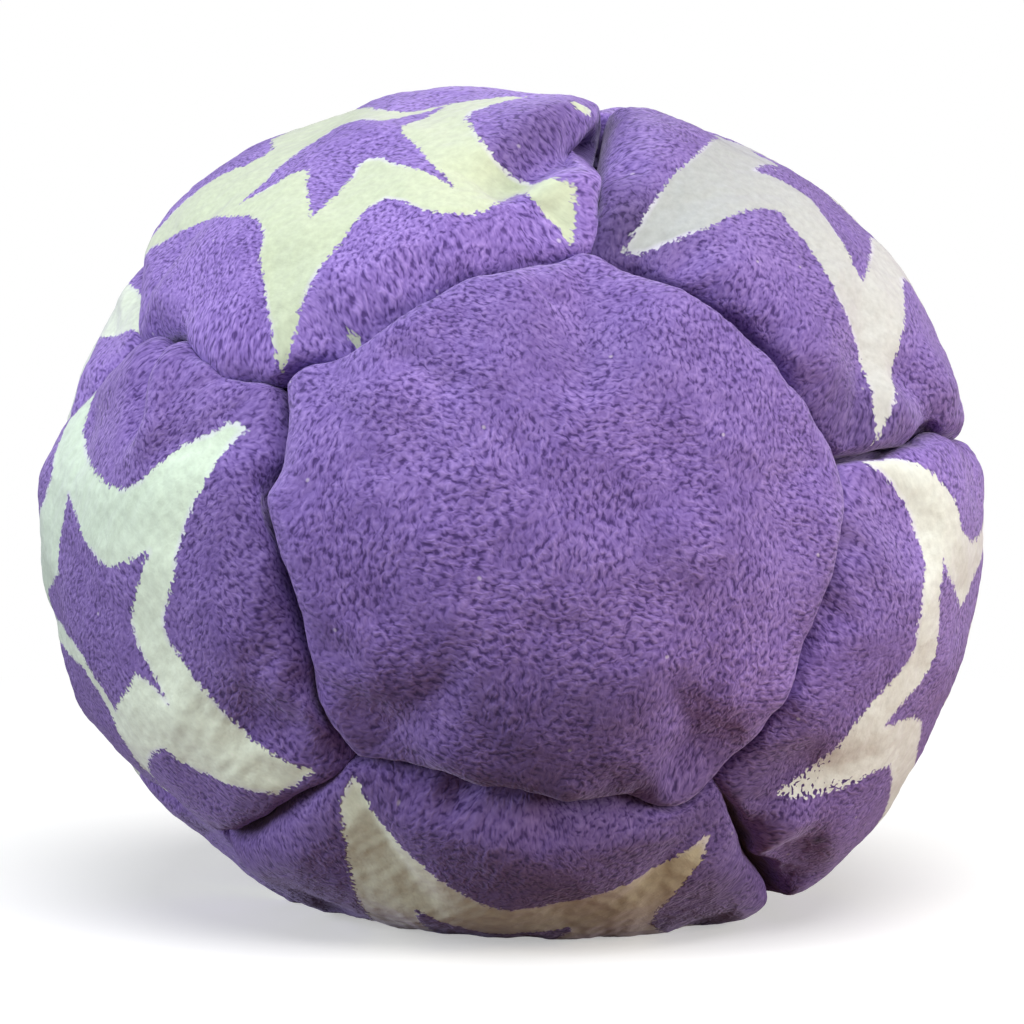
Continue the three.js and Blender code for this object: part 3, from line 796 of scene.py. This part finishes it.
class Graph:
    """Node tree of a new material, built from the coordinates up."""

    def __init__(self, name):
        self.material = bpy.data.materials.new(name)
        self.material.use_nodes = True
        self.tree = self.material.node_tree
        self.shader = self.tree.nodes["Principled BSDF"]

    def add(self, kind, inputs, output=0, **settings):
        node = self.tree.nodes.new("ShaderNode" + kind)
        for name, value in settings.items():
            setattr(node, name, value)
        for key, value in inputs.items():
            self.feed(node.inputs[key], value)
        return node.outputs[output]

    def feed(self, socket, value):
        if isinstance(value, bpy.types.NodeSocket):
            self.tree.links.new(value, socket)
        else:
            socket.default_value = value

    def math(self, operation, a, b=0.0):
        return self.add("Math", {0: a, 1: b}, operation=operation)

    def mix(self, factor, a, b):
        return self.add("Mix", {0: factor, 6: a, 7: b}, output=2, data_type="RGBA")

    def noise(self, place, scale, detail=2.0, roughness=0.5):
        inputs = {"Vector": place, "Scale": scale, "Detail": detail, "Roughness": roughness}
        return self.add("TexNoise", inputs)

    def remap(self, value, low, high, to_low=0.0, to_high=1.0):
        source = {"Value": value, "From Min": low, "From Max": high}
        return self.add("MapRange", {**source, "To Min": to_low, "To Max": to_high})

    def ramp(self, value, stops):
        node = self.tree.nodes.new("ShaderNodeValToRGB")
        elements = node.color_ramp.elements
        while len(elements) < len(stops):
            elements.new(0.5)
        for element, (position, colour) in zip(elements, stops):
            element.position = position
            element.color = (*colour, 1)
        self.tree.links.new(value, node.inputs["Fac"])
        return node.outputs["Color"]

    def attribute(self, name, output):
        return self.add("Attribute", {}, output=output, attribute_name=name)

    def finish(self, **sockets):
        for name, value in sockets.items():
            self.feed(self.shader.inputs[name.replace("_", " ")], value)
        return self.material


def suede_material():
    """Purple suede with a pale print where the panel has ink. Its patterns are scaled in mm."""
    graph = Graph("printed_suede")
    cloth, ink_with_painted_light = graph.attribute("cloth", "Vector"), graph.attribute("ink_with_painted_light", "Color")
    ink, wear, painted_shade = [graph.attribute(name, "Fac") for name in ("ink", "wear", "painted_shade")]
    drift = graph.add("TexNoise", {"Vector": cloth, "Scale": 1.8, "Detail": 2.0}, output="Color")
    drift = graph.add("VectorMath", {0: drift, 1: (0.4, 0.4, 0.0)}, operation="MULTIPLY")
    bent = graph.add("VectorMath", {0: cloth, 1: drift}, operation="ADD")

    # Nap: short tufts that lie three ways in patches, dark gaps between them, and uneven dye
    def tufts(turn, scale, patch):
        lie = {"Vector": bent, "Location": (patch, 0, 0), "Rotation": (0, 0, turn), "Scale": scale}
        return graph.noise(graph.add("Mapping", lie), 1.0, 1.0, 0.5)

    def patches(place):
        shifted = graph.add("VectorMath", {0: cloth, 1: (place, 0, 0)}, operation="ADD")
        return graph.remap(graph.noise(shifted, 0.16, 1.0), 0.46, 0.54)

    upright, leaning = tufts(0.1, (5.0, 2.8, 1), 3.0), tufts(-0.7, (5.0, 2.9, 1), 17.0)
    nap = graph.mix(patches(0.0), upright, leaning)
    nap = graph.mix(patches(40.0), nap, tufts(0.2, (3.2, 4.4, 1), 29.0))
    gaps = graph.remap(nap, 0.32, 0.46, 1.0, 0.0)
    mottle = graph.noise(cloth, 0.14, 2.0)
    blotch = graph.noise(cloth, 0.6, 3.0)
    level = graph.remap(nap, 0.3, 0.7, -0.3, 0.4)
    level = graph.math("ADD", level, graph.remap(mottle, 0.3, 0.7, 0.44, 0.62))
    level = graph.math("ADD", level, graph.remap(blotch, 0.3, 0.7, -0.1, 0.1))
    level = graph.math("MULTIPLY", level, graph.remap(gaps, 0.0, 1.0, 1.0, 0.4))
    purples = [(0.0, (0.05, 0.024, 0.14)), (0.5, (0.2, 0.126, 0.42)), (1.0, (0.36, 0.25, 0.64))]
    purple = graph.ramp(level, purples)
    dots = {"Vector": cloth, "Scale": 0.13}
    specks = graph.add("TexVoronoi", dots, output="Distance", voronoi_dimensions="2D")
    purple = graph.mix(graph.remap(specks, 0.006, 0.016, 0.5, 0.0), purple, (0.75, 0.7, 0.8, 1))

    # Print: pale ink with a ragged edge, a bleached fringe, and places where the gaps wear through
    ragged = graph.remap(graph.noise(cloth, 3.6, 1.0, 0.6), 0.25, 0.75, -0.2, 0.2)
    ragged = graph.math("ADD", ragged, ink)
    rubbed = graph.math("MULTIPLY", wear, graph.remap(nap, 0.3, 0.5, 1.3, 0.0))
    covered = graph.remap(graph.math("SUBTRACT", ragged, rubbed), -0.05, 0.07)
    grain = graph.remap(graph.noise(cloth, 2.2, 3.0, 0.6), 0.3, 0.7, 0.88, 1.06)
    # The inks' colours carry painted light and shade besides the print's own colour
    print_colour = graph.add("VectorMath", {0: ink_with_painted_light, 1: grain}, operation="MULTIPLY")
    fringe = graph.remap(graph.noise(cloth, 0.25, 2.0), 0.48, 0.62)
    fringe = graph.math("MULTIPLY", fringe, graph.remap(ink, 0.05, 0.3, 0.5, 0.0))
    print_colour = graph.mix(fringe, print_colour, (0.72, 0.7, 0.9, 1))
    # The purple takes its painted light and shade
    purple = graph.add("VectorMath", {0: purple, 1: painted_shade}, operation="MULTIPLY")
    colour = graph.mix(covered, purple, print_colour)

    pile = graph.math("MULTIPLY", nap, graph.remap(covered, 0.0, 1.0, 1.0, 0.2))
    bump = graph.add("Bump", {"Strength": 0.4, "Distance": 0.00025, "Height": pile})
    return graph.finish(
        Base_Color=colour,
        Normal=bump,
        Roughness=0.95,
        Specular_IOR_Level=0.1,
        Sheen_Weight=0.45,
        Sheen_Roughness=0.5,
        Sheen_Tint=(0.74, 0.64, 1.0, 1.0),
    )


def thread_material():
    graph = Graph("sewing_thread")
    place = graph.add("TexCoord", {}, output="Object")
    twist = graph.add("TexWave", {"Vector": place, "Scale": 900.0}, output="Fac")
    return graph.finish(
        Base_Color=graph.ramp(twist, [(0.0, (0.03, 0.02, 0.08)), (1.0, (0.08, 0.05, 0.17))]),
        Roughness=0.8,
    )


def bean_material():
    graph = Graph("plastic_beans")
    place = graph.add("TexCoord", {}, output="Object")
    cells = graph.add("TexVoronoi", {"Vector": place, "Scale": 330.0}, output="Distance")
    return graph.finish(
        Base_Color=graph.ramp(cells, [(0.0, (0.72, 0.68, 0.58)), (1.0, (0.35, 0.32, 0.26))]),
        Roughness=0.5,
    )


suede = suede_material()
for number, (panel, move) in enumerate(zip(panels, moves)):
    piece = dress(panel, number, move)
    piece.data.materials.append(suede)
    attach(piece, "root")
    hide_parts(panel.name)

cotton, beans = thread_material(), bean_material()
for name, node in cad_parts.items():
    if "thread" in name or name == "bean_fill":
        node.data.materials.clear()
        node.data.materials.append(beans if name == "bean_fill" else cotton)


# Floor, light and camera

# The camera sees a grey floor that keeps the shadow near the ball and turns white farther out. The
# ball gets a darker and warmer bounce from it.
FAR = 9
floor_mesh = bpy.data.meshes.new("floor")
floor_corners = [(-FAR, -FAR, 0), (FAR, -FAR, 0), (FAR, FAR, 0), (-FAR, FAR, 0)]
floor_mesh.from_pydata(floor_corners, [], [(0, 1, 2, 3)])
floor = bpy.data.objects.new("floor", floor_mesh)
bpy.context.collection.objects.link(floor)
stage = Graph("floor")
seen = stage.add("LightPath", {}, output="Is Camera Ray")
place = stage.add("TexCoord", {}, output="Object")
away = stage.add("VectorMath", {0: place}, output="Value", operation="LENGTH")
away = stage.remap(away, 0.03, 0.14)
across = stage.remap(stage.add("SeparateXYZ", {0: place}), -0.04, 0.05)
bounce = stage.mix(across, (0.12, 0.09, 0.08, 1), (0.22, 0.1, 0.03, 1))
grey = stage.mix(away, (0.7, 0.7, 0.7, 1), (0, 0, 0, 1))
floor_material = stage.finish(
    Base_Color=stage.mix(seen, bounce, grey),
    Roughness=1.0,
    Specular_IOR_Level=0.0,
    Emission_Color=(1, 1, 1, 1),
    Emission_Strength=stage.math("MULTIPLY", seen, stage.remap(away, 0.0, 1.0, 0.4, 1.0)),
)
floor.data.materials.append(floor_material)


def area_lamp(name, place, size, energy, colour=(1, 1, 1), target=(0, 0, 0.024)):
    light = bpy.data.lights.new(name, "AREA")
    light.shape = "DISK"
    light.size = size
    light.energy = energy
    light.color = colour
    lamp = bpy.data.objects.new(name, light)
    lamp.location = place
    lamp.rotation_euler = (Vector(target) - Vector(place)).to_track_quat("-Z", "Y").to_euler()
    bpy.context.collection.objects.link(lamp)


area_lamp("key", (0.06, -0.3, 0.56), 0.5, 3.8)
area_lamp("left", (-0.62, -0.2, 0.2), 0.4, 3.4, (0.9, 0.95, 1.0))
area_lamp("right", (0.62, -0.2, 0.15), 0.4, 3.5, (1.0, 0.93, 0.84))

# White background that gives the ball less light than it shows
world = bpy.data.worlds.new("studio")
bpy.context.scene.world = world
world.use_nodes = True
nodes, links = world.node_tree.nodes, world.node_tree.links
background = nodes["Background"]
path = nodes.new("ShaderNodeLightPath")
level = nodes.new("ShaderNodeMapRange")
level.inputs["To Min"].default_value = 0.17
level.inputs["To Max"].default_value = 1.0
links.new(path.outputs["Is Camera Ray"], level.inputs["Value"])
background.inputs["Color"].default_value = (1, 1, 1, 1)
links.new(level.outputs["Result"], background.inputs["Strength"])

# Camera as fitted to the photo: its focal length in pixels of a picture 1024 wide
FOCAL_PIXELS, PICTURE_PIXELS, SENSOR = 3044, 1024, 36
camera_data = bpy.data.cameras.new("camera")
camera = bpy.data.objects.new("camera", camera_data)
elevation, distance = math.radians(3), 0.190
aim = Vector((0, 0, 0.02453))
camera.location = aim + distance * Vector((0, -math.cos(elevation), math.sin(elevation)))
camera.rotation_euler = (aim - camera.location).to_track_quat("-Z", "Y").to_euler()
camera_data.sensor_width = SENSOR
camera_data.lens = SENSOR * FOCAL_PIXELS / PICTURE_PIXELS
camera_data.clip_start = 0.01
bpy.context.collection.objects.link(camera)
bpy.context.scene.camera = camera
bpy.context.scene.view_settings.view_transform = "Standard"
